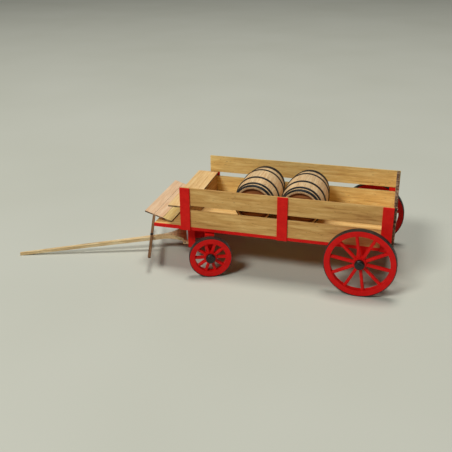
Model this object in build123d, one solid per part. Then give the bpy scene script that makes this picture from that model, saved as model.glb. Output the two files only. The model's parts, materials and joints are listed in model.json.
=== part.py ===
from build123d import *
import math
import os

# Scale model (about 1:24) of a four-wheeled horse-drawn farm wagon with two barrels on board.
# Millimetres. Wagon frame: X = 0 at the kingpin, +X towards the tailgate, +Y to the wagon's
# right-hand side, Z = 0 on the ground. The finished model is moved so that its origin is on
# the ground, midway along its whole length.

# ---------------------------------------------------------------- driving dimensions
# Bed
floor_front_x = -25.9
stake_front_x = -7.0
stake_pitch = 63.1
stake_count = 3
stake_width = 6.5
right_stake_drop = 0.9
sheet = 0.9
wheel_headroom = 0.5
sill_height = 2.2
sill_width = 1.0
half_width = 33.1
plank_height = 11.8
plank_slot = 3.1
tailgate_thickness = 1.8
tailgate_skew = 1.9
tailgate_overhang = 0.5
tailgate_gap = 0.1
floor_board_count = 6
board_gap = 0.12
bearer_setback = 1.0

# Seat, riser and footboard
seat_depth = 14.4
seat_rear_x = -1.4
seat_side_gap = 0.2
seat_thickness = 1.2
seat_rise = 0.5
seat_tilt = 1.25
riser_setback = 0.8
foot_rear_x = -15.2
foot_length = 19.2
foot_side_inset = 3.8
foot_slope = 17.0
foot_plank_count = 3
foot_bracket_y = 18.0
foot_bracket_width = 3.0
foot_gap = 0.06

# Bearers under the floor
end_bearer_width = 5.0
front_bearer_half = 9.5
mid_bearer_half = 2.5
rear_bearer_half = 3.5

# Running gear
rear_axle_setback = 17.0
rear_radius = 22.0
front_radius = 13.75
rear_wheel_gap = 3.9
front_wheel_gap = 6.2
wheel_width = 3.6
tyre_thickness = 0.5
felloe_depth = 3.4
hub_radius = 4.1
hub_boss_radius = 2.4
spoke_count = 10
spoke_width = 1.8
spoke_thickness = 2.2
spoke_corner = 0.5
rear_spoke_phase = -8.7
front_spoke_phase = 0.0
cap_radius = 3.1
cap_length = 2.1
cap_rounding = 0.84
cap_nub_radius = 0.8
cap_nub_length = 0.4
axle_radius = 0.8
axle_arm_depth = 14.0
running_clearance = 0.05
side_clearance = 0.1
boss_end_gap = 0.3
beam_half_thickness = 2.9
rear_block_inset = 0.1
rear_block_below_axle = 2.9
front_block_overhang = 3.4
front_block_below_axle = 2.9
front_block_above_axle = 2.9

# Turning gear
steer_at_rest = 20.2
kingpin_radius = 0.9
kingpin_nut_radius = 1.9
kingpin_nut_height = 1.2
kingpin_tail = 1.5
turn_plate_radius = 9.0
turn_plate_thickness = 0.65
crossbeam_front_x = -13.7
crossbeam_thickness = 4.6
crossbeam_half_length = 21.0
crossbeam_top_gap = 0.8
crossbeam_below_axle = 2.85
hound_y = 8.0
hound_thickness = 3.0
hound_height = 9.0
hound_lift = 2.0

# Pole and evener
pole_pivot_offset = 2.2
pole_pivot_z = 11.3
pole_length = 114.6
pole_tip_size = 1.8
pole_root_width = 3.2
pole_thickness = 2.6
pole_flare_length = 16.0
pole_flare_half_width = 12.0
pole_eye_radius = 1.3
pole_pin_radius = 0.5
pole_tip_gap = 0.05
lug_thickness = 1.6
lug_gap = 0.4
lug_reach = 1.2
evener_from_pivot = 22.8
evener_length = 68.0
evener_width = 1.8
evener_thickness = 1.1
evener_corner = 0.4
evener_turn_at_rest = -1.3
evener_bolt_radius = 0.5
evener_bolt_head_radius = 1.0
evener_bolt_head_height = 0.5

# Barrels
first_barrel_x = 38.0
barrel_count = 2
barrel_spacing_gap = 0.6
barrel_y = -2.0
barrel_length = 40.0
barrel_bilge_radius = 14.3
barrel_end_radius = 12.0
barrel_wall = 1.4
barrel_rest_gap = 0.2
barrel_head_recess = 1.3
barrel_head_thickness = 1.0
barrel_head_gap = 0.03
stave_count = 16
stave_gap_angle = 0.4
hoop_thickness = 0.5
hoop_gap = 0.01
# Each hoop's distance from the nearer end of the barrel, and its width
hoop_rows = ((1.1, 1.8), (4.4, 1.4), (12.8, 1.4))

# ---------------------------------------------------------------- sizes that follow
sill_bottom_z = 2 * front_radius + wheel_headroom
rear_half_track = half_width + sheet + rear_wheel_gap + wheel_width
front_half_track = half_width + sheet + front_wheel_gap + wheel_width
rear_block_half_length = half_width - rear_block_inset
front_block_half_length = half_width + front_block_overhang
foot_half_width = half_width - foot_side_inset
floor_top_z = sill_bottom_z + sill_height
floor_bottom_z = floor_top_z - sheet
plank_outer_y = half_width
plank_inner_y = half_width - sheet
sill_inner_y = half_width - sill_width
lower_plank_top_z = floor_top_z + plank_height
upper_plank_bottom_z = lower_plank_top_z + plank_slot
side_top_z = upper_plank_bottom_z + plank_height
bed_rear_x = stake_front_x + (stake_count - 1) * stake_pitch + stake_width
rear_axle_x = bed_rear_x - rear_axle_setback
mid_bearer_x = stake_front_x + stake_pitch + stake_width / 2
riser_rear_x = seat_rear_x - riser_setback
seat_left_y = seat_side_gap - plank_inner_y
seat_length = 2 * (plank_inner_y - seat_side_gap)
seat_bottom_z = lower_plank_top_z + seat_rise
hinge_x = crossbeam_front_x - pole_pivot_offset
lower_plate_top_z = sill_bottom_z - turn_plate_thickness - running_clearance
bolster_top_z = lower_plate_top_z - turn_plate_thickness
front_block_bottom_z = front_radius - front_block_below_axle
front_block_top_z = front_radius + front_block_above_axle
rear_block_bottom_z = rear_radius - rear_block_below_axle
crossbeam_bottom_z = front_radius - crossbeam_below_axle
crossbeam_top_z = sill_bottom_z - crossbeam_top_gap
barrel_pitch = 2 * (barrel_bilge_radius + hoop_thickness) + barrel_spacing_gap
barrel_x = [first_barrel_x + number * barrel_pitch for number in range(barrel_count)]

# The pole drops from its hinge until the lower edge of its tip is just off the ground.
pole_reach = math.hypot(pole_length, pole_tip_size / 2)
pole_drop = pole_pivot_z - pole_tip_gap
pole_tip_angle = math.atan2(pole_tip_size / 2, pole_length)
pole_pitch = math.degrees(math.asin(pole_drop / pole_reach) - pole_tip_angle)
evener_pole_half = pole_thickness / 2

# Frames of the seat, the turning gear and the pole
seat_place = Pos(seat_rear_x, seat_left_y, seat_bottom_z) * Rot(seat_tilt, 0, 0)
gear_place = Rot(0, 0, steer_at_rest)
pole_place = gear_place * Pos(hinge_x, 0, pole_pivot_z) * Rot(0, -pole_pitch, 0)


# ---------------------------------------------------------------- helpers
def block(x_low, x_high, y_low, y_high, z_low, z_high):
    """A plain block between two corners."""
    size = (x_high - x_low, y_high - y_low, z_high - z_low)
    middle = ((x_low + x_high) / 2, (y_low + y_high) / 2, (z_low + z_high) / 2)
    return Pos(*middle) * Box(*size)


def group(shapes):
    """Several separate solids in one node."""
    return Compound(children=list(shapes))


def both_sides(make):
    """The same piece on the left (-1) and on the right (+1)."""
    return {"left": make(-1), "right": make(1)}


def side_block(side, y_inner, y_outer, x_low, x_high, z_low, z_high):
    """A block on one side of the wagon, between two distances from its centre line."""
    y_low, y_high = sorted((side * y_inner, side * y_outer))
    return block(x_low, x_high, y_low, y_high, z_low, z_high)


# ---------------------------------------------------------------- bed
def floor_boards():
    span = 2 * sill_inner_y
    width = (span - (floor_board_count - 1) * board_gap) / floor_board_count
    boards = []
    for number in range(floor_board_count):
        y_low = -sill_inner_y + number * (width + board_gap)
        boards.append(
            block(floor_front_x, bed_rear_x, y_low, y_low + width, floor_bottom_z, floor_top_z)
        )
    return group(boards)


def floor_bearers():
    places = (
        (floor_front_x + bearer_setback, floor_front_x + bearer_setback + end_bearer_width),
        (-front_bearer_half, front_bearer_half),
        (mid_bearer_x - mid_bearer_half, mid_bearer_x + mid_bearer_half),
        (rear_axle_x - rear_bearer_half, rear_axle_x + rear_bearer_half),
    )
    pin_hole = Pos(0, 0, sill_bottom_z) * Cylinder(kingpin_radius, 4 * sill_height)
    bearers = []
    for x_low, x_high in places:
        bearer = block(x_low, x_high, -sill_inner_y, sill_inner_y, sill_bottom_z, floor_bottom_z)
        bearers.append(bearer - pin_hole)
    return group(bearers)


def sill(side):
    return side_block(
        side, sill_inner_y, plank_outer_y, floor_front_x, bed_rear_x, sill_bottom_z, floor_top_z,
    )


def lower_plank(side):
    return side_block(
        side, plank_inner_y, plank_outer_y, stake_front_x, bed_rear_x, floor_top_z, lower_plank_top_z,
    )


def upper_plank(side):
    return side_block(
        side, plank_inner_y, plank_outer_y, stake_front_x, bed_rear_x, upper_plank_bottom_z, side_top_z,
    )


def stakes(side):
    """Upright stakes outside the planks. The right ones stop a little below the planks' top."""
    pieces = []
    top_z = side_top_z - (right_stake_drop if side > 0 else 0)
    for number in range(stake_count):
        x_low = stake_front_x + number * stake_pitch
        pieces.append(
            side_block(
                side, plank_outer_y, plank_outer_y + sheet, x_low, x_low + stake_width,
                sill_bottom_z, top_z,
            )
        )
    return group(pieces)


def tailgate():
    """Stands a little askew, with its left end further back."""
    half = plank_inner_y - tailgate_gap
    board = block(-tailgate_thickness, 0, -half, half, floor_top_z, side_top_z)
    return Pos(bed_rear_x + tailgate_overhang, 0, 0) * Rot(0, 0, tailgate_skew) * board


def seat_board():
    """Lies between the side planks, with its right end a little higher."""
    return seat_place * block(-seat_depth, 0, 0, seat_length, 0, seat_thickness)


def seat_riser():
    """Reaches up to the underside of the seat, so its top edge leans the same way."""
    slope = math.tan(math.radians(seat_tilt))
    left_top_z = seat_bottom_z + (-plank_inner_y - seat_left_y) * slope
    right_top_z = seat_bottom_z + (plank_inner_y - seat_left_y) * slope
    outline = Polyline(
        (-plank_inner_y, floor_top_z),
        (plank_inner_y, floor_top_z),
        (plank_inner_y, right_top_z),
        (-plank_inner_y, left_top_z),
        close=True,
    )
    face = make_face(Plane.YZ * outline)
    return Pos(riser_rear_x - sheet, 0, 0) * extrude(face, sheet)


def footboard_place():
    """Local X = 0 is the footboard's rear edge, it rises towards local -X, and local Z is square to it."""
    return Pos(foot_rear_x, 0, floor_top_z + foot_gap) * Rot(0, foot_slope, 0)


def footboard_planks():
    width = (foot_length - (foot_plank_count - 1) * board_gap) / foot_plank_count
    planks = []
    for number in range(foot_plank_count):
        x_high = -number * (width + board_gap)
        planks.append(block(x_high - width, x_high, -foot_half_width, foot_half_width, 0, sheet))
    return footboard_place() * group(planks)


def footboard_brackets():
    """Wedges from the floor up to the footboard's underside."""
    wedge_length = foot_rear_x - floor_front_x
    rise = foot_gap + wedge_length * math.tan(math.radians(foot_slope))
    outline = Polyline(
        (foot_rear_x, floor_top_z),
        (floor_front_x, floor_top_z),
        (floor_front_x, floor_top_z + rise),
        (foot_rear_x, floor_top_z + foot_gap),
        close=True,
    )
    face = make_face(Plane.XZ * outline)
    wedge = extrude(face, foot_bracket_width / 2, both=True)
    return group([Pos(0, -foot_bracket_y, 0) * wedge, Pos(0, foot_bracket_y, 0) * wedge])


# ---------------------------------------------------------------- wheels and axles
def ring(outer, inner, height):
    return Cylinder(outer, height) - Cylinder(inner, height)


def spokes(radius, phase):
    felloe_inner = radius - tyre_thickness - felloe_depth
    annulus = ring(felloe_inner, hub_radius, wheel_width)
    profile = RectangleRounded(spoke_width, spoke_thickness, spoke_corner)
    bar = extrude(Plane.YZ * profile, felloe_inner + felloe_depth)
    spoke = bar & annulus
    turn = 360 / spoke_count
    return group([Rot(0, 0, phase + number * turn) * spoke for number in range(spoke_count)])


def hub(boss_length):
    body = Cylinder(hub_radius, wheel_width)
    boss = Pos(0, 0, -wheel_width / 2 - boss_length / 2) * Cylinder(hub_boss_radius, boss_length)
    bore = Cylinder(axle_radius + running_clearance, 2 * (wheel_width + boss_length))
    return body + boss - bore


def wheel(name, radius, phase, boss_length, place):
    """One wheel, its outer side facing +Z before it is placed."""
    felloe_outer = radius - tyre_thickness
    felloe_inner = felloe_outer - felloe_depth
    return {
        name + "_tyre": place * ring(radius, felloe_outer, wheel_width),
        name + "_felloe": place * ring(felloe_outer, felloe_inner, wheel_width),
        name + "_spokes": place * spokes(radius, phase),
        name + "_hub": place * hub(boss_length),
    }


def wheel_pair(end, radius, half_track, block_half_length, phase, base):
    boss_length = half_track - wheel_width - block_half_length - boss_end_gap
    centre = half_track - wheel_width / 2
    left = base * Pos(0, -centre, radius) * Rot(90, 0, 0)
    right = base * Pos(0, centre, radius) * Rot(-90, 0, 0)
    pieces = wheel(end + "_left_wheel", radius, phase, boss_length, left)
    pieces.update(wheel(end + "_right_wheel", radius, phase, boss_length, right))
    return pieces


def axle_arms(radius, half_track, block_half_length, base):
    """The two iron arms let into the ends of an axle block."""
    inner = block_half_length - axle_arm_depth
    outer = half_track + side_clearance + cap_length / 2
    arm = Cylinder(axle_radius, outer - inner)
    middle = (outer + inner) / 2
    left = base * Pos(0, -middle, radius) * Rot(90, 0, 0) * arm
    right = base * Pos(0, middle, radius) * Rot(90, 0, 0) * arm
    return group([left, right])


def axle_caps(radius, half_track, base):
    """A domed cap pressed on the end of each axle arm."""
    dome = Cylinder(cap_radius, cap_length)
    dome = fillet(dome.edges().group_by(Axis.Z)[-1], cap_rounding)
    nub = Pos(0, 0, cap_length / 2 + cap_nub_length / 2) * Cylinder(cap_nub_radius, cap_nub_length)
    socket = Pos(0, 0, -cap_length / 4) * Cylinder(axle_radius, cap_length / 2)
    cap = dome + nub - socket
    middle = half_track + side_clearance + cap_length / 2
    left = base * Pos(0, -middle, radius) * Rot(90, 0, 0) * cap
    right = base * Pos(0, middle, radius) * Rot(-90, 0, 0) * cap
    return group([left, right])


def rear_axle_block():
    body = block(
        -beam_half_thickness, beam_half_thickness, -rear_block_half_length, rear_block_half_length,
        rear_block_bottom_z, sill_bottom_z,
    )
    for arm in axle_arms(rear_radius, rear_half_track, rear_block_half_length, Pos(0, 0, 0)).solids():
        body = body - arm
    return Pos(rear_axle_x, 0, 0) * body


# ---------------------------------------------------------------- turning gear
def kingpin_bore(radius):
    return Pos(0, 0, sill_bottom_z / 2) * Cylinder(radius, 2 * sill_bottom_z)


def front_axle_block():
    body = block(
        -beam_half_thickness, beam_half_thickness, -front_block_half_length, front_block_half_length,
        front_block_bottom_z, front_block_top_z,
    )
    for arm in axle_arms(front_radius, front_half_track, front_block_half_length, Pos(0, 0, 0)).solids():
        body = body - arm
    return body - kingpin_bore(kingpin_radius + running_clearance)


def front_bolster():
    body = block(
        -beam_half_thickness, beam_half_thickness, -front_block_half_length, front_block_half_length,
        front_block_top_z, bolster_top_z,
    )
    return body - kingpin_bore(kingpin_radius + running_clearance)


def lower_turn_plate():
    plate = Cylinder(turn_plate_radius, turn_plate_thickness)
    plate = Pos(0, 0, bolster_top_z + turn_plate_thickness / 2) * plate
    return plate - kingpin_bore(kingpin_radius + running_clearance)


def upper_turn_plate():
    plate = Cylinder(turn_plate_radius, turn_plate_thickness)
    plate = Pos(0, 0, sill_bottom_z - turn_plate_thickness / 2) * plate
    return plate - kingpin_bore(kingpin_radius)


def kingpin():
    """Held in the front bearer; the turning gear swings on it."""
    low = front_block_bottom_z - kingpin_tail
    return Pos(0, 0, (low + floor_bottom_z) / 2) * Cylinder(kingpin_radius, floor_bottom_z - low)


def kingpin_nut():
    top = front_block_bottom_z - side_clearance
    nut = extrude(RegularPolygon(kingpin_nut_radius, 6), kingpin_nut_height)
    return Pos(0, 0, top - kingpin_nut_height) * (nut - Cylinder(kingpin_radius, 4 * kingpin_nut_height))


def front_crossbeam():
    return block(
        crossbeam_front_x, crossbeam_front_x + crossbeam_thickness,
        -crossbeam_half_length, crossbeam_half_length, crossbeam_bottom_z, crossbeam_top_z,
    )


def gear_hounds():
    """Two rails that join the crossbeam to the axle block."""
    low = crossbeam_bottom_z + hound_lift
    rails = []
    for side in (-1, 1):
        rails.append(
            side_block(
                side, hound_y, hound_y + hound_thickness, crossbeam_front_x + crossbeam_thickness,
                -beam_half_thickness, low, low + hound_height,
            )
        )
    return group(rails)


def pole_lugs():
    inner = pole_flare_half_width + lug_gap
    lugs = []
    pin_hole = Rot(90, 0, 0) * Cylinder(pole_pin_radius, 4 * pole_flare_half_width)
    pin_hole = Pos(hinge_x, 0, pole_pivot_z) * pin_hole
    for side in (-1, 1):
        lug = side_block(
            side, inner, inner + lug_thickness, hinge_x - lug_reach, crossbeam_front_x,
            pole_pivot_z - lug_reach, pole_pivot_z + lug_reach,
        )
        lugs.append(lug - pin_hole)
    return group(lugs)


def pole_hinge_pin():
    half = pole_flare_half_width + lug_gap + lug_thickness
    return Pos(hinge_x, 0, pole_pivot_z) * Rot(90, 0, 0) * Cylinder(pole_pin_radius, 2 * half)


# ---------------------------------------------------------------- pole and evener
def pole_flare():
    """The root spreads into a flat plate that ends in the hinge eye."""
    root = pole_root_width / 2
    front_x = -pole_flare_length
    outline = [
        Line((front_x, root), (front_x, -root)),
        TangentArc((front_x, -root), (0, -pole_flare_half_width), tangent=(1, 0)),
        Line((0, -pole_flare_half_width), (0, pole_flare_half_width)),
        TangentArc((front_x, root), (0, pole_flare_half_width), tangent=(1, 0)),
    ]
    plate = extrude(make_face(outline), pole_thickness / 2, both=True)
    eye = Rot(90, 0, 0) * Cylinder(pole_eye_radius, 2 * pole_flare_half_width)
    return plate + eye


def pole():
    root_plane = Plane((-pole_flare_length, 0, 0), x_dir=(0, 1, 0), z_dir=(1, 0, 0))
    tip_plane = Plane((-pole_length, 0, 0), x_dir=(0, 1, 0), z_dir=(1, 0, 0))
    tip = tip_plane * Rectangle(pole_tip_size, pole_tip_size)
    root = root_plane * Rectangle(pole_root_width, pole_thickness)
    bar = loft([tip, root])
    pin_bore = Rot(90, 0, 0) * Cylinder(pole_pin_radius + running_clearance, 4 * pole_flare_half_width)
    bolt_bore = Pos(-evener_from_pivot, 0, 0) * Cylinder(evener_bolt_radius, 4 * pole_thickness)
    return pole_place * (bar + pole_flare() - pin_bore - bolt_bore)


def evener_bar():
    low = evener_pole_half + side_clearance
    face = RectangleRounded(evener_width, evener_length, evener_corner)
    bar = Pos(0, 0, low) * extrude(face, evener_thickness)
    bar = bar - Cylinder(evener_bolt_radius + running_clearance, 8 * evener_thickness)
    return pole_place * Pos(-evener_from_pivot, 0, 0) * Rot(0, 0, evener_turn_at_rest) * bar


def evener_bolt():
    head_low = evener_pole_half + evener_thickness + 2 * side_clearance
    shank = Cylinder(evener_bolt_radius, head_low + evener_pole_half)
    shank = Pos(0, 0, (head_low - evener_pole_half) / 2) * shank
    head = Cylinder(evener_bolt_head_radius, evener_bolt_head_height)
    head = Pos(0, 0, head_low + evener_bolt_head_height / 2) * head
    return pole_place * Pos(-evener_from_pivot, 0, 0) * (shank + head)


# ---------------------------------------------------------------- barrels
def barrel_arc_radius():
    rise = barrel_bilge_radius - barrel_end_radius
    return ((barrel_length / 2) ** 2 + rise**2) / (2 * rise)


def stave_radius(along):
    """Outer radius of the staves at a distance from the barrel's middle."""
    arc = barrel_arc_radius()
    return barrel_bilge_radius - arc + math.sqrt(arc**2 - along**2)


def barrel_staves():
    """Separate staves, each a slice of the bulged shell. The barrel's axis is Z here."""
    half = barrel_length / 2
    outer = ThreePointArc(
        (barrel_end_radius, 0, -half), (barrel_bilge_radius, 0, 0), (barrel_end_radius, 0, half)
    )
    inner = ThreePointArc(
        (barrel_end_radius - barrel_wall, 0, half),
        (barrel_bilge_radius - barrel_wall, 0, 0),
        (barrel_end_radius - barrel_wall, 0, -half),
    )
    far_end = Line((barrel_end_radius, 0, half), (barrel_end_radius - barrel_wall, 0, half))
    near_end = Line((barrel_end_radius - barrel_wall, 0, -half), (barrel_end_radius, 0, -half))
    section = make_face([outer, far_end, inner, near_end])
    turn = 360 / stave_count
    stave = revolve(section, Axis.Z, revolution_arc=turn - stave_gap_angle)
    return group([Rot(0, 0, number * turn) * stave for number in range(stave_count)])


def barrel_heads():
    """A flat head let in near each end."""
    middle = barrel_length / 2 - barrel_head_recess - barrel_head_thickness / 2
    radius = stave_radius(middle + barrel_head_thickness / 2) - barrel_wall - barrel_head_gap
    head = Cylinder(radius, barrel_head_thickness)
    return group([Pos(0, 0, -middle) * head, Pos(0, 0, middle) * head])


def stave_crown(low, high):
    """How far the staves bulge past a straight line between two distances along the barrel."""
    return stave_radius((low + high) / 2) - (stave_radius(low) + stave_radius(high)) / 2


def barrel_hoops():
    """Flat hoops, each a short cone that clears the staves' bulge under it."""
    hoops = []
    half = barrel_length / 2
    hoop_places = [(side * (half - from_end), width) for side in (-1, 1) for from_end, width in hoop_rows]
    for along, width in hoop_places:
        low = along - width / 2
        high = along + width / 2
        clearance = stave_crown(low, high) + hoop_gap
        low_inner = stave_radius(low) + clearance
        high_inner = stave_radius(high) + clearance
        outline = Polyline(
            (low_inner, 0, low),
            (low_inner + hoop_thickness, 0, low),
            (high_inner + hoop_thickness, 0, high),
            (high_inner, 0, high),
            close=True,
        )
        hoops.append(revolve(make_face(outline), Axis.Z))
    return group(hoops)


def barrel(name, x):
    centre_z = floor_top_z + barrel_rest_gap + barrel_bilge_radius + hoop_thickness
    place = Pos(x, barrel_y, centre_z) * Rot(90, 0, 0)
    return {
        name + "_staves": place * barrel_staves(),
        name + "_heads": place * barrel_heads(),
        name + "_hoops": place * barrel_hoops(),
    }


# ---------------------------------------------------------------- the whole wagon
def bed_pieces():
    pieces = {
        "floor_boards": floor_boards(),
        "floor_bearers": floor_bearers(),
        "tailgate": tailgate(),
        "seat_board": seat_board(),
        "seat_riser": seat_riser(),
        "footboard_planks": footboard_planks(),
        "footboard_brackets": footboard_brackets(),
        "rear_axle_block": rear_axle_block(),
        "upper_turn_plate": upper_turn_plate(),
        "kingpin": kingpin(),
        "kingpin_nut": kingpin_nut(),
    }
    for label, make in (
        ("sill", sill), ("lower_plank", lower_plank), ("upper_plank", upper_plank), ("stakes", stakes),
    ):
        for side, shape in both_sides(make).items():
            pieces[side + "_" + label] = shape
    return pieces


def gear_pieces():
    pieces = {
        "front_axle_block": front_axle_block(),
        "front_bolster": front_bolster(),
        "lower_turn_plate": lower_turn_plate(),
        "front_crossbeam": front_crossbeam(),
        "gear_hounds": gear_hounds(),
        "pole_lugs": pole_lugs(),
        "pole_hinge_pin": pole_hinge_pin(),
    }
    return {name: gear_place * shape for name, shape in pieces.items()}


def all_pieces():
    rear_place = Pos(rear_axle_x, 0, 0)
    pieces = bed_pieces()
    rear_sizes = (rear_radius, rear_half_track, rear_block_half_length)
    pieces["rear_axle_arms"] = axle_arms(*rear_sizes, rear_place)
    pieces["rear_axle_caps"] = axle_caps(rear_radius, rear_half_track, rear_place)
    pieces.update(wheel_pair("rear", *rear_sizes, rear_spoke_phase, rear_place))
    pieces.update(gear_pieces())
    front_sizes = (front_radius, front_half_track, front_block_half_length)
    pieces["front_axle_arms"] = axle_arms(*front_sizes, gear_place)
    pieces["front_axle_caps"] = axle_caps(front_radius, front_half_track, gear_place)
    pieces.update(wheel_pair("front", *front_sizes, front_spoke_phase, gear_place))
    pieces["pole"] = pole()
    pieces["evener_bar"] = evener_bar()
    pieces["evener_bolt"] = evener_bolt()
    for number, x in enumerate(barrel_x, start=1):
        pieces.update(barrel("barrel_" + str(number), x))
    return pieces


wagon = all_pieces()
boxes = [piece.bounding_box() for piece in wagon.values()]
low = Vector(*(min(getattr(box.min, axis) for box in boxes) for axis in "XYZ"))
high = Vector(*(max(getattr(box.max, axis) for box in boxes) for axis in "XYZ"))
origin_shift = Vector(-(low.X + high.X) / 2, -(low.Y + high.Y) / 2, -low.Z)

os.makedirs("parts", exist_ok=True)
for node, piece in wagon.items():
    export_step(Pos(*origin_shift) * piece, "parts/" + node + ".step")
print(len(wagon), "nodes; origin moved by", origin_shift, "; size", high - low)
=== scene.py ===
"""The looks of a model farm wagon with two barrels on board. Metres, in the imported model's frame."""

import json
import math

import bpy
from mathutils import Matrix, Vector


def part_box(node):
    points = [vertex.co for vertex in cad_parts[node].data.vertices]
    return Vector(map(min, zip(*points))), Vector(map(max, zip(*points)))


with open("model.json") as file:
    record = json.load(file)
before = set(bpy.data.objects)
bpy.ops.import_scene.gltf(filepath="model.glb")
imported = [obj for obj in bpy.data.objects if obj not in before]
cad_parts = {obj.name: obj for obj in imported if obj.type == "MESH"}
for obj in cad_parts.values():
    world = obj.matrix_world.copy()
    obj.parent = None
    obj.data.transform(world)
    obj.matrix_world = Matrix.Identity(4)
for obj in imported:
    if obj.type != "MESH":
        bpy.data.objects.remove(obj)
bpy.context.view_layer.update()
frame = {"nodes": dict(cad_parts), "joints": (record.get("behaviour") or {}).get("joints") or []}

MM = 0.001
nodes = frame["nodes"]

WHEELS = ("front_left_wheel", "front_right_wheel", "rear_left_wheel", "rear_right_wheel")
BARRELS = ("barrel_1", "barrel_2")


# ---------------------------------------------------------------- node building
class Builder:
    """One Principled material and short calls for the nodes that feed it."""

    def __init__(self, name, roughness=0.5, metallic=0.0, specular=0.5):
        self.material = bpy.data.materials.new(name)
        self.material.use_nodes = True
        self.tree = self.material.node_tree
        self.surface = self.tree.nodes["Principled BSDF"]
        self.surface.inputs["Roughness"].default_value = roughness
        self.surface.inputs["Metallic"].default_value = metallic
        self.surface.inputs["Specular IOR Level"].default_value = specular
        self.coordinates = self.node("ShaderNodeTexCoord")

    def node(self, kind, **settings):
        made = self.tree.nodes.new(kind)
        for key, value in settings.items():
            setattr(made, key, value)
        return made

    def join(self, value, socket):
        """Links an output, or sets a plain number or colour."""
        if isinstance(value, bpy.types.NodeSocket):
            self.tree.links.new(value, socket)
        else:
            socket.default_value = value

    def place(self, scale, rotation=(0, 0, 0)):
        """The object's own coordinates, turned and then scaled, per metre."""
        turned = self.node("ShaderNodeMapping", vector_type="POINT")
        turned.inputs["Rotation"].default_value = rotation
        self.join(self.coordinates.outputs["Object"], turned.inputs["Vector"])
        scaled = self.node("ShaderNodeVectorMath", operation="MULTIPLY")
        scaled.inputs[1].default_value = scale
        self.join(turned.outputs[0], scaled.inputs[0])
        return scaled.outputs[0]

    def noise(self, vector, scale=1.0, detail=3.0, roughness=0.55, distortion=0.0):
        made = self.node("ShaderNodeTexNoise")
        made.inputs["Scale"].default_value = scale
        made.inputs["Detail"].default_value = detail
        made.inputs["Roughness"].default_value = roughness
        made.inputs["Distortion"].default_value = distortion
        self.join(vector, made.inputs["Vector"])
        return made.outputs["Fac"]

    def math(self, operation, first, second=0.0):
        made = self.node("ShaderNodeMath", operation=operation)
        self.join(first, made.inputs[0])
        self.join(second, made.inputs[1])
        return made.outputs[0]

    def spread(self, value, low, high, to_low=0.0, to_high=1.0):
        """A value between low and high, stretched to another range and held there."""
        made = self.node("ShaderNodeMapRange", clamp=True)
        self.join(value, made.inputs["Value"])
        made.inputs["From Min"].default_value = low
        made.inputs["From Max"].default_value = high
        made.inputs["To Min"].default_value = to_low
        made.inputs["To Max"].default_value = to_high
        return made.outputs["Result"]

    def mix(self, share, first, second):
        made = self.node("ShaderNodeMix", data_type="RGBA", blend_type="MIX")
        self.join(share, made.inputs["Factor"])
        self.join(first, made.inputs["A"])
        self.join(second, made.inputs["B"])
        return made.outputs["Result"]

    def uneven(self, colour, darkest, brightest):
        """A colour made darker or brighter by a different amount on each loose solid."""
        made = self.node("ShaderNodeVectorMath", operation="SCALE")
        self.join(colour, made.inputs[0])
        self.join(self.spread(self.island(), 0, 1, darkest, brightest), made.inputs["Scale"])
        return made.outputs[0]

    def axis_distance(self, middle):
        """Distance from the Y-wise axis through a point, and the height above that point."""
        offset = self.node("ShaderNodeVectorMath", operation="SUBTRACT")
        self.join(self.coordinates.outputs["Object"], offset.inputs[0])
        offset.inputs[1].default_value = middle
        parts = self.separate(offset.outputs[0])
        across = self.math("MULTIPLY", parts[0], parts[0])
        upward = self.math("MULTIPLY", parts[2], parts[2])
        return self.math("SQRT", self.math("ADD", across, upward)), parts[2]

    def facing(self, direction):
        """How squarely a face looks along a direction of the piece itself, 0 to 1."""
        made = self.node("ShaderNodeVectorMath", operation="DOT_PRODUCT")
        self.join(self.coordinates.outputs["Normal"], made.inputs[0])
        made.inputs[1].default_value = direction
        return self.math("ABSOLUTE", made.outputs["Value"])

    def separate(self, vector):
        made = self.node("ShaderNodeSeparateXYZ")
        self.join(vector, made.inputs[0])
        return made.outputs

    def island(self):
        """A number of its own for each loose solid of a node."""
        return self.node("ShaderNodeNewGeometry").outputs["Random Per Island"]

    def bump(self, height, strength, distance):
        made = self.node("ShaderNodeBump")
        made.inputs["Strength"].default_value = strength
        made.inputs["Distance"].default_value = distance
        self.join(height, made.inputs["Height"])
        self.join(made.outputs["Normal"], self.surface.inputs["Normal"])

    def finish(self, colour, roughness=None):
        self.join(colour, self.surface.inputs["Base Color"])
        if roughness is not None:
            self.join(roughness, self.surface.inputs["Roughness"])
        return self.material


def tint(red, green, blue):
    """A colour given as it looks on a screen, 0 to 255, as linear light."""
    def linear(channel):
        share = channel / 255
        return share / 12.92 if share <= 0.04045 else ((share + 0.055) / 1.055) ** 2.4

    return (linear(red), linear(green), linear(blue), 1.0)


# ---------------------------------------------------------------- wood
# How often the grain changes per metre: streaks, fibres and pores, along and across the piece
ALONG = 55.0
ACROSS = 620.0
STAVE_ACROSS = 900.0
FIBRE_ALONG = 220.0
FIBRE_ACROSS = 4200.0
PORE_ALONG = 420.0
PORE_ACROSS = 1500.0
# The same for what is alike all ways: cloudy tone, and the patchiness of burnt edges
CLOUDS = 70.0
BURN_PATCHES = 520.0
FOOT_BURN_PATCHES = 700.0
# How deep the bumps are
GRAIN_DEPTH = 0.06 * MM
FINE_DEPTH = 0.05 * MM
HEAD_DEPTH = 0.08 * MM
# The darkest edge of cut wood, and a pore
BURN = tint(62, 34, 20)
SCORCH = tint(120, 76, 42)


def stretched(along, across, axis):
    return tuple(along if index == axis else across for index in range(3))


def even(often):
    return (often, often, often)


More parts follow.
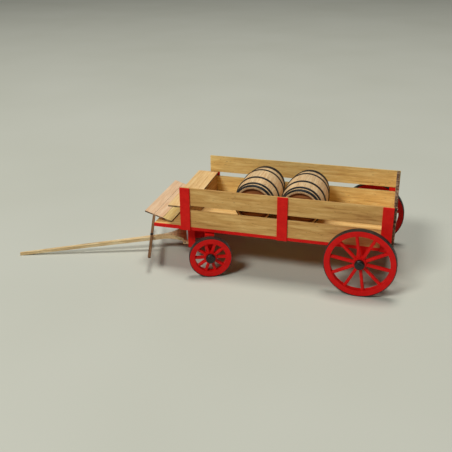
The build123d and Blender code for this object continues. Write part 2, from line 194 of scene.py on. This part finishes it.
def wood(name, light, middle, dark, axis, thin=None, rotation=(0, 0, 0), burn_share=1.0, specks=0.5):
    """Planed wood with streaks along one axis, pores, and laser-burnt edges square to its thin way."""
    build = Builder(name, specular=0.32)
    streaks = build.noise(build.place(stretched(ALONG, ACROSS, axis), rotation), detail=4, distortion=0.4)
    fibres = build.noise(build.place(stretched(FIBRE_ALONG, FIBRE_ACROSS, axis), rotation), detail=2)
    clouds = build.noise(build.place(even(CLOUDS), rotation), detail=2)
    colour = build.mix(build.spread(streaks, 0.36, 0.52), light, middle)
    colour = build.mix(build.spread(streaks, 0.56, 0.72, 0, 0.8), colour, dark)
    colour = build.mix(build.spread(fibres, 0.45, 0.75, 0, 0.4), colour, dark)
    colour = build.mix(build.spread(clouds, 0.4, 0.75, 0, 0.3), colour, middle)
    pores = build.noise(build.place(stretched(PORE_ALONG, PORE_ACROSS, axis), rotation), detail=1)
    colour = build.mix(build.spread(pores, 0.7, 0.78, 0, specks), colour, SCORCH)
    colour = build.uneven(colour, 0.88, 1.08)
    if thin is not None:
        edge = build.spread(build.facing(thin), 0.45, 0.8, 1, 0)
        patchy = build.spread(build.noise(build.place(even(BURN_PATCHES)), detail=2), 0.3, 0.62, 0.45, 1)
        burnt = build.math("MULTIPLY", build.math("MULTIPLY", edge, patchy), burn_share)
        colour = build.mix(burnt, colour, BURN)
    build.bump(build.math("ADD", streaks, build.math("MULTIPLY", fibres, 0.6)), 0.35, GRAIN_DEPTH)
    return build.finish(colour, build.spread(fibres, 0.3, 0.7, 0.5, 0.68))


X_WAY, Y_WAY, Z_WAY = (1, 0, 0), (0, 1, 0), (0, 0, 1)
POLE_HINGE = next(joint for joint in frame["joints"] if joint["name"] == "pole_lift")
STEER = math.atan2(-POLE_HINGE["axis"][0], POLE_HINGE["axis"][1])
POLE_TURN = (0, 0, -STEER)


# The left planks; the right ones are the same wood, painted lighter.
def left_plank_wood():
    colours = (tint(236, 194, 122), tint(216, 168, 96), tint(168, 114, 56))
    return wood("left_plank_wood", *colours, 0, Y_WAY, burn_share=0.3)


# Painted light: the left planks' wood painted lighter for the light falling on the far side's inner faces.
def right_plank_wood_painted_lighter():
    colours = (tint(252, 226, 152), tint(236, 202, 124), tint(190, 140, 74))
    return wood("right_plank_wood_painted_lighter", *colours, 0, Y_WAY, burn_share=0.3)


def floor_wood():
    return wood("floor_wood", tint(244, 208, 140), tint(228, 184, 112), tint(188, 134, 70), 0, Z_WAY)


def seat_wood():
    return wood("seat_wood", tint(240, 207, 150), tint(230, 190, 130), tint(196, 148, 92), 1, Z_WAY)


# Painted shade: a darker brown for the board that stands in the shade under the seat.
def riser_wood_painted_shade():
    return wood("riser_wood_painted_shade", tint(214, 172, 112), tint(190, 140, 84), tint(140, 92, 50), 1, X_WAY)


def tailgate_wood():
    return wood("tailgate_wood", tint(236, 206, 172), tint(216, 178, 136), tint(150, 104, 62), 1, X_WAY)


def pole_wood():
    colours = (tint(248, 228, 182), tint(224, 194, 142), tint(148, 110, 66))
    return wood("pole_wood", *colours, 0, rotation=POLE_TURN, specks=0.9)


def evener_wood():
    colours = (tint(152, 116, 78), tint(120, 84, 52), tint(72, 46, 28))
    return wood("evener_wood", *colours, 1, rotation=POLE_TURN, specks=0.9)


FOOT_PLANKS = 3
FOOT_BLEND = 0.1 * MM


def footboard_wood():
    """Three planks: the rear one is yellower than the pinkish front two."""
    build = Builder("footboard_wood", specular=0.32)
    streaks = build.noise(build.place(stretched(ALONG, ACROSS, 1)), detail=4, distortion=0.4)
    fibres = build.noise(build.place(stretched(FIBRE_ALONG, FIBRE_ACROSS, 1)), detail=2)
    front = build.mix(build.spread(streaks, 0.35, 0.7), tint(244, 212, 174), tint(226, 184, 142))
    rear = build.mix(build.spread(streaks, 0.35, 0.7), tint(232, 208, 142), tint(204, 172, 102))
    low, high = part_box("footboard_planks")
    rear_plank = high.x - (high.x - low.x) / FOOT_PLANKS
    along = build.separate(build.coordinates.outputs["Object"])[0]
    colour = build.mix(build.spread(along, rear_plank - FOOT_BLEND, rear_plank + FOOT_BLEND), front, rear)
    colour = build.mix(build.spread(fibres, 0.5, 0.8, 0, 0.35), colour, tint(176, 124, 84))
    edge = build.spread(build.facing(Z_WAY), 0.45, 0.85, 1, 0)
    patchy = build.spread(build.noise(build.place(even(FOOT_BURN_PATCHES)), detail=2), 0.3, 0.6, 0.5, 1)
    colour = build.mix(build.math("MULTIPLY", edge, patchy), colour, BURN)
    build.bump(build.math("ADD", streaks, build.math("MULTIPLY", fibres, 0.6)), 0.35, GRAIN_DEPTH)
    return build.finish(colour, build.spread(fibres, 0.3, 0.7, 0.5, 0.68))


# ---------------------------------------------------------------- paint and iron
# How often each changes per metre
BRUSH_MARKS = 260.0
PAINTED_GRAIN_ALONG = 150.0
PAINTED_GRAIN_ACROSS = 2600.0
PAINT_WEAR = 900.0
IRON_PATCHES = 380.0
IRON_SCUFFS = 1700.0


def red_paint(name, light, dark):
    """Thin satin paint over laser-cut wood, with the grain just showing through."""
    build = Builder(name, specular=0.18)
    brush = build.noise(build.place(even(BRUSH_MARKS)), detail=3)
    grain = build.noise(build.place(stretched(PAINTED_GRAIN_ALONG, PAINTED_GRAIN_ACROSS, 0)), detail=2)
    colour = build.mix(build.spread(brush, 0.3, 0.7), light, dark)
    worn = build.noise(build.place(even(PAINT_WEAR)), detail=3)
    colour = build.mix(build.spread(worn, 0.66, 0.8, 0, 0.45), colour, tint(96, 10, 12))
    build.bump(build.math("ADD", build.math("MULTIPLY", grain, 0.5), brush), 0.3, FINE_DEPTH)
    return build.finish(colour, build.spread(brush, 0.3, 0.7, 0.5, 0.66))


def dark_iron(name, light, dark, rough_low, rough_high, metallic=0.0):
    """Blackened or painted metal with rubbed patches."""
    build = Builder(name, metallic=metallic, specular=0.45)
    patches = build.noise(build.place(even(IRON_PATCHES)), detail=4)
    scuffs = build.noise(build.place(even(IRON_SCUFFS)), detail=2)
    colour = build.mix(build.spread(patches, 0.35, 0.68), dark, light)
    build.bump(build.math("ADD", patches, build.math("MULTIPLY", scuffs, 0.5)), 0.3, FINE_DEPTH)
    return build.finish(colour, build.spread(scuffs, 0.3, 0.7, rough_low, rough_high))


# ---------------------------------------------------------------- barrels
BARREL_END_RADIUS = 12.0 * MM
# Painted shade on the stave ends' inner rim: how far in from the end radius it is darkest and faded out
STAVE_SHADE_DARKEST = 1.3 * MM
STAVE_SHADE_FADED = 0.7 * MM
STAVE_PORE_ALONG = 500.0
STAVE_PORE_ACROSS = 900.0
HEAD_BOARD = 4.0 * MM
# Where the painted shade towards each head's rim begins, and where it is fullest
HEAD_SHADE_STARTS = 8.5 * MM
HEAD_SHADE_ENDS = 10.8 * MM


def barrel_wood(name, barrel):
    """Staves with painted shade on the inner rim of each end, where they meet the head."""
    build = Builder(name, specular=0.3)
    low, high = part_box(barrel + "_staves")
    streaks = build.noise(build.place(stretched(ALONG, STAVE_ACROSS, 1)), detail=4, distortion=0.3)
    fibres = build.noise(build.place(stretched(FIBRE_ALONG, FIBRE_ACROSS, 1)), detail=2)
    colour = build.mix(build.spread(streaks, 0.4, 0.62), tint(236, 204, 156), tint(220, 180, 130))
    colour = build.mix(build.spread(streaks, 0.62, 0.76, 0, 0.7), colour, tint(186, 138, 90))
    colour = build.mix(build.spread(fibres, 0.5, 0.78, 0, 0.3), colour, tint(176, 128, 84))
    pores = build.noise(build.place(stretched(STAVE_PORE_ALONG, STAVE_PORE_ACROSS, 1)), detail=1)
    colour = build.mix(build.spread(pores, 0.69, 0.75, 0, 0.7), colour, tint(132, 88, 54))
    colour = build.uneven(colour, 0.86, 1.06)
    radius, _ = build.axis_distance((low + high) / 2)
    # Painted shade: each end face darkens on its inner rim, where the staves meet the head.
    end = build.spread(build.facing(Y_WAY), 0.6, 0.9)
    inner_rim_shade = build.spread(radius, BARREL_END_RADIUS - STAVE_SHADE_DARKEST, BARREL_END_RADIUS - STAVE_SHADE_FADED, 1, 0)
    colour = build.mix(build.math("MULTIPLY", end, inner_rim_shade), colour, tint(110, 62, 32))
    build.bump(build.math("ADD", streaks, build.math("MULTIPLY", fibres, 0.6)), 0.35, FINE_DEPTH)
    return build.finish(colour, build.spread(fibres, 0.3, 0.7, 0.5, 0.66))


def head_wood(name, barrel):
    """Head boards with dark joints between them, and painted shade towards the rim where they meet the
    staves.
    """
    build = Builder(name, specular=0.3)
    low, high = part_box(barrel + "_heads")
    radius, height = build.axis_distance((low + high) / 2)
    streaks = build.noise(build.place(stretched(ALONG, STAVE_ACROSS, 0)), detail=4, distortion=0.3)
    colour = build.mix(build.spread(streaks, 0.35, 0.68), tint(190, 126, 74), tint(132, 78, 42))
    place = build.math("FRACT", build.math("ADD", build.math("DIVIDE", height, HEAD_BOARD), 0.5))
    joint = build.math("ABSOLUTE", build.math("SUBTRACT", place, 0.5))
    seam = build.spread(joint, 0.46, 0.49)
    colour = build.mix(seam, colour, BURN)
    # Painted shade: the head darkens towards its rim, where it meets the staves.
    rim = build.spread(radius, HEAD_SHADE_STARTS, HEAD_SHADE_ENDS, 0, 0.75)
    colour = build.mix(rim, colour, tint(84, 44, 22))
    build.bump(build.math("SUBTRACT", streaks, build.math("MULTIPLY", seam, 3.0)), 0.5, HEAD_DEPTH)
    return build.finish(colour, build.spread(streaks, 0.3, 0.7, 0.55, 0.7))


# ---------------------------------------------------------------- putting materials on the nodes
def paint(material, *names):
    """Each piece takes the material in its own slots, in place of the plain one it came with."""
    for name in names:
        for slot in nodes[name].material_slots:
            slot.material = material


def paint_everything():
    paint(left_plank_wood(), "left_lower_plank", "left_upper_plank")
    paint(right_plank_wood_painted_lighter(), "right_lower_plank", "right_upper_plank")
    paint(tailgate_wood(), "tailgate")
    paint(floor_wood(), "floor_boards")
    paint(seat_wood(), "seat_board")
    paint(riser_wood_painted_shade(), "seat_riser")
    paint(footboard_wood(), "footboard_planks", "footboard_brackets")
    red = red_paint("red_paint", tint(232, 30, 22), tint(216, 20, 16))
    paint(red, "left_sill", "right_sill", "left_stakes", "right_stakes", "floor_bearers")
    paint(red, "rear_axle_block", "front_axle_block", "front_bolster", "front_crossbeam", "gear_hounds")
    paint(pole_wood(), "pole", "pole_lugs")
    paint(evener_wood(), "evener_bar")
    steel = dark_iron("blackened_steel", tint(96, 96, 94), tint(48, 48, 48), 0.3, 0.5, metallic=0.9)
    paint(steel, "rear_axle_arms", "front_axle_arms", "kingpin", "kingpin_nut")
    paint(steel, "pole_hinge_pin", "evener_bolt", "upper_turn_plate", "lower_turn_plate")
    caps = dark_iron("black_caps", tint(26, 30, 28), tint(10, 12, 11), 0.22, 0.36)
    paint(caps, "rear_axle_caps", "front_axle_caps")
    wheel_red = red_paint("wheel_red", tint(228, 22, 18), tint(212, 14, 14))
    tyre = dark_iron("tyre_iron", tint(44, 46, 43), tint(16, 18, 16), 0.4, 0.55)
    for wheel in WHEELS:
        paint(wheel_red, wheel + "_felloe", wheel + "_spokes", wheel + "_hub")
        paint(tyre, wheel + "_tyre")
    hoop = dark_iron("hoop_iron", tint(48, 50, 52), tint(18, 20, 22), 0.36, 0.55)
    for barrel in BARRELS:
        paint(barrel_wood(barrel + "_stave_wood", barrel), barrel + "_staves")
        paint(head_wood(barrel + "_head_wood", barrel), barrel + "_heads")
        paint(hoop, barrel + "_hoops")


# ---------------------------------------------------------------- soft edges on the sawn pieces
SAWN = (
    "left_lower_plank", "right_lower_plank", "left_upper_plank", "right_upper_plank", "tailgate",
    "floor_boards", "seat_board", "seat_riser", "footboard_planks", "left_sill", "right_sill",
    "left_stakes", "right_stakes", "rear_axle_block", "front_axle_block", "front_bolster",
    "front_crossbeam", "gear_hounds", "evener_bar",
)
SAWN_ROUNDING = 0.1 * MM
SAME_POINT = 0.002 * MM


def soften(name, width):
    """A fine rounding on a sawn piece's edges, made by modifiers alone."""
    piece = nodes[name]
    weld = piece.modifiers.new("weld", "WELD")
    weld.merge_threshold = SAME_POINT
    bevel = piece.modifiers.new("bevel", "BEVEL")
    bevel.width = width
    bevel.segments = 2
    bevel.limit_method = "ANGLE"
    bevel.angle_limit = math.radians(40)
    normals = piece.modifiers.new("normals", "WEIGHTED_NORMAL")
    normals.keep_sharp = False


# ---------------------------------------------------------------- floor, light and camera
FLOOR_HALF = 4.0
PAPER_TONE = 5.0


def floor():
    half = FLOOR_HALF
    mesh = bpy.data.meshes.new("studio_floor")
    corners = [(-half, -half, 0), (half, -half, 0), (half, half, 0), (-half, half, 0)]
    mesh.from_pydata(corners, [], [(0, 1, 2, 3)])
    piece = bpy.data.objects.new("studio_floor", mesh)
    bpy.context.scene.collection.objects.link(piece)
    build = Builder("studio_paper", roughness=0.9, specular=0.15)
    tone = build.noise(build.place(even(PAPER_TONE)), detail=2)
    colour = build.mix(build.spread(tone, 0.3, 0.7), tint(202, 204, 192), tint(197, 199, 186))
    mesh.materials.append(build.finish(colour))


LIGHT_AIM = (0, 0, 0.02)
WARM_WHITE = (1.0, 0.985, 0.95)
SOFT_WHITE = (1.0, 0.985, 0.96)
COOL_GLOW = (0.93, 0.95, 1.0, 1.0)
GLOW_STRENGTH = 0.035


def area_light(name, place, size, power, colour):
    data = bpy.data.lights.new(name, "AREA")
    data.shape = "RECTANGLE"
    data.size, data.size_y = size
    data.energy = power
    data.color = colour
    light = bpy.data.objects.new(name, data)
    light.location = place
    light.rotation_euler = (Vector(LIGHT_AIM) - Vector(place)).to_track_quat("-Z", "Y").to_euler()
    bpy.context.scene.collection.objects.link(light)


def lights():
    """A soft light almost overhead, a lower one in front on the left, and a faint glow all round."""
    area_light("top_softbox", place=(0.05, 0.25, 2.2), size=(0.7, 0.7), power=27.0, colour=WARM_WHITE)
    area_light("front_softbox", place=(-0.7, -1.55, 1.75), size=(0.7, 0.5), power=30.0, colour=SOFT_WHITE)
    world = bpy.data.worlds.new("studio")
    world.use_nodes = True
    background = world.node_tree.nodes["Background"]
    background.inputs["Color"].default_value = COOL_GLOW
    background.inputs["Strength"].default_value = GLOW_STRENGTH
    bpy.context.scene.world = world


# The camera's place in metres, its angles in radians, and its lens and sensor in millimetres
CAMERA_PLACE = (0.130546, -0.411989, 0.212945)
CAMERA_HEADING = 0.2861
CAMERA_DOWNWARD = 0.4261
CAMERA_ROLL = -0.0117
CAMERA_LENS = 54.47
CAMERA_SENSOR = 36.0
CAMERA_NEAR = 0.01
CAMERA_FAR = 30.0


def camera():
    data = bpy.data.cameras.new("camera")
    data.lens = CAMERA_LENS
    data.sensor_width = CAMERA_SENSOR
    data.clip_start = CAMERA_NEAR
    data.clip_end = CAMERA_FAR
    piece = bpy.data.objects.new("camera", data)
    heading = Matrix.Rotation(CAMERA_HEADING, 3, "Z")
    tilt = Matrix.Rotation(math.pi / 2 - CAMERA_DOWNWARD, 3, "X")
    roll = Matrix.Rotation(CAMERA_ROLL, 3, "Z")
    piece.rotation_euler = (heading @ tilt @ roll).to_euler()
    piece.location = CAMERA_PLACE
    bpy.context.scene.collection.objects.link(piece)
    bpy.context.scene.camera = piece


paint_everything()
for sawn in SAWN:
    soften(sawn, SAWN_ROUNDING)
floor()
lights()
camera()
bpy.context.scene.view_settings.view_transform = "Standard"
